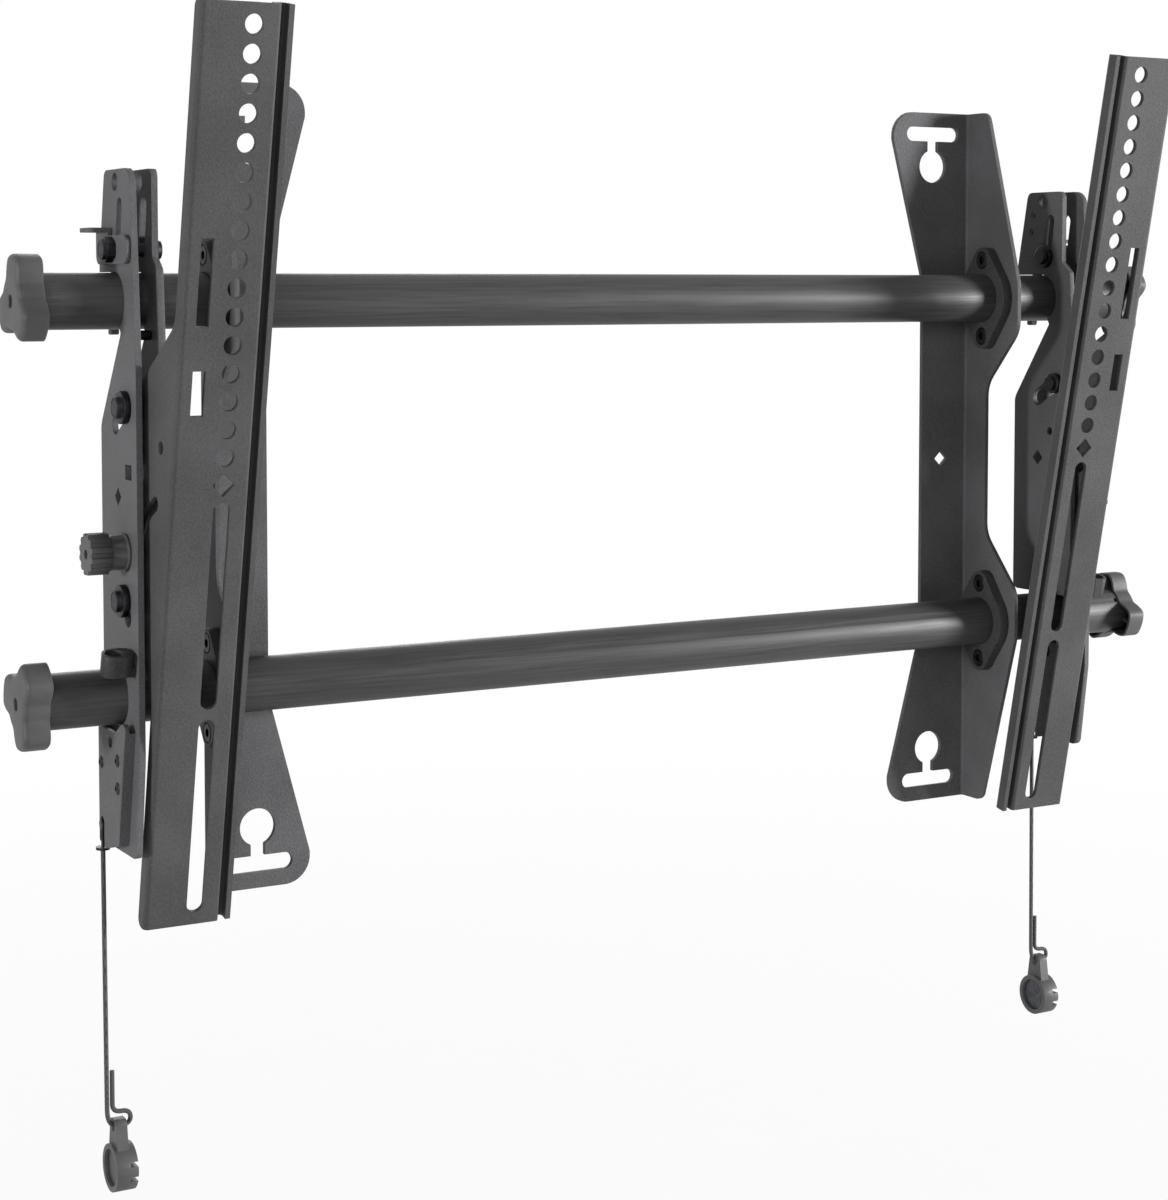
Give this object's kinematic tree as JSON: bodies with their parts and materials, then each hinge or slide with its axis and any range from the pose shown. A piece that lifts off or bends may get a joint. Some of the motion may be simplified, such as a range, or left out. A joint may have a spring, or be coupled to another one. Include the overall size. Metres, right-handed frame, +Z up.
{
  "type": "tv mount",
  "caption": "Wall mount for a flat display: two keyholed uprights carry cross tubes, on which hooked, tilting rails hang and are latched by pull cords.",
  "frame": {"origin": "on the wall face, midway between the four wall keyholes", "axes": "+X along the tubes to the right as seen from the room, +Y into the wall, +Z up"},
  "size_m": [0.644, 0.1203, 0.5358],
  "materials": {
    "frame_steel": "fine texture powder coat",
    "tube_steel": "satin black coat",
    "collar_casting": "satin black coat",
    "moulded_plastic": "fine matt",
    "dark_fastener": "black oxide",
    "spring_steel": "oiled wire",
    "magnet": "dull plated",
    "woven_cord": "tight braid"
  },
  "bodies": {
    "frame": {"left_upright": "frame_steel", "left_upper_collar": "collar_casting", "left_lower_collar": "collar_casting", "left_upper_cap": "moulded_plastic", "left_lower_cap": "moulded_plastic", "right_upright": "frame_steel", "right_upper_collar": "collar_casting", "right_lower_collar": "collar_casting", "right_upper_cap": "moulded_plastic", "right_lower_cap": "moulded_plastic", "collar_screws": "dark_fastener", "upper_tube": "tube_steel", "lower_tube": "tube_steel"},
    "left_hanger": {"left_outer_plate": "frame_steel", "left_inner_plate": "frame_steel", "left_plate_spacers": "dark_fastener", "left_knob_stud": "dark_fastener", "left_knob_collar": "moulded_plastic", "left_lock_eye": "dark_fastener", "left_latch_cover": "frame_steel", "left_latch_rivets": "dark_fastener", "left_latch_spring": "spring_steel"},
    "left_lock": {"left_lock_slider": "frame_steel", "left_lock_bolt": "dark_fastener", "left_lock_nut": "dark_fastener", "left_lock_tab": "frame_steel"},
    "left_bracket": {"left_display_rail": "frame_steel", "left_tilt_bolts": "dark_fastener", "left_tilt_nuts": "dark_fastener", "left_tilt_washers": "dark_fastener"},
    "left_knob": {"left_tilt_knob": "moulded_plastic"},
    "left_latch": {"left_latch_pawl": "frame_steel", "left_cord_ferrule": "dark_fastener", "left_pull_cord": "woven_cord", "left_pull_tab": "moulded_plastic", "left_pull_magnet": "magnet"},
    "right_hanger": {"right_outer_plate": "frame_steel", "right_inner_plate": "frame_steel", "right_plate_spacers": "dark_fastener", "right_knob_stud": "dark_fastener", "right_knob_collar": "moulded_plastic", "right_lock_eye": "dark_fastener", "right_latch_cover": "frame_steel", "right_latch_rivets": "dark_fastener", "right_latch_spring": "spring_steel"},
    "right_lock": {"right_lock_slider": "frame_steel", "right_lock_bolt": "dark_fastener", "right_lock_nut": "dark_fastener", "right_lock_tab": "frame_steel"},
    "right_bracket": {"right_display_rail": "frame_steel", "right_tilt_bolts": "dark_fastener", "right_tilt_nuts": "dark_fastener", "right_tilt_washers": "dark_fastener"},
    "right_knob": {"right_tilt_knob": "moulded_plastic"},
    "right_latch": {"right_latch_pawl": "frame_steel", "right_cord_ferrule": "dark_fastener", "right_pull_cord": "woven_cord", "right_pull_tab": "moulded_plastic", "right_pull_magnet": "magnet"}
  },
  "joints": [
    {"name": "left_hanger_slide", "type": "slide", "parent": "frame", "child": "left_hanger", "axis": [1, 0, 0], "range_m": [-0.02, 0.02]},
    {"name": "left_lock_slide", "type": "slide", "parent": "left_hanger", "child": "left_lock", "axis": [0, -0.1564, 0.9877], "range_m": [0, 0.02]},
    {"name": "left_tilt", "type": "hinge", "parent": "left_hanger", "child": "left_bracket", "pos_m": [-0.2673, -0.0707, -0.0357], "axis": [1, 0, 0], "range_deg": [-11.69, 0]},
    {"name": "left_knob_turn", "type": "hinge", "parent": "left_hanger", "child": "left_knob", "pos_m": [-0.288, -0.03453, -0.02282], "axis": [1, 0, 0], "range_deg": [0, 360]},
    {"name": "left_latch_slide", "type": "slide", "parent": "left_hanger", "child": "left_latch", "axis": [0, 0, -1], "range_m": [0, 0.012], "stiffness_N_per_m": 800, "springref_m": -0.008, "deforming": ["left_latch_spring"]},
    {"name": "right_hanger_slide", "type": "slide", "parent": "frame", "child": "right_hanger", "axis": [1, 0, 0], "range_m": [-0.02, 0.02]},
    {"name": "right_lock_slide", "type": "slide", "parent": "right_hanger", "child": "right_lock", "axis": [0, -0.1564, 0.9877], "range_m": [0, 0.02]},
    {"name": "right_tilt", "type": "hinge", "parent": "right_hanger", "child": "right_bracket", "pos_m": [0.2673, -0.0707, -0.0357], "axis": [1, 0, 0], "range_deg": [-11.69, 0]},
    {"name": "right_knob_turn", "type": "hinge", "parent": "right_hanger", "child": "right_knob", "pos_m": [0.288, -0.03453, -0.02282], "axis": [1, 0, 0], "range_deg": [0, 360]},
    {"name": "right_latch_slide", "type": "slide", "parent": "right_hanger", "child": "right_latch", "axis": [0, 0, -1], "range_m": [0, 0.012], "stiffness_N_per_m": 800, "springref_m": -0.008, "deforming": ["right_latch_spring"]}
  ]
}
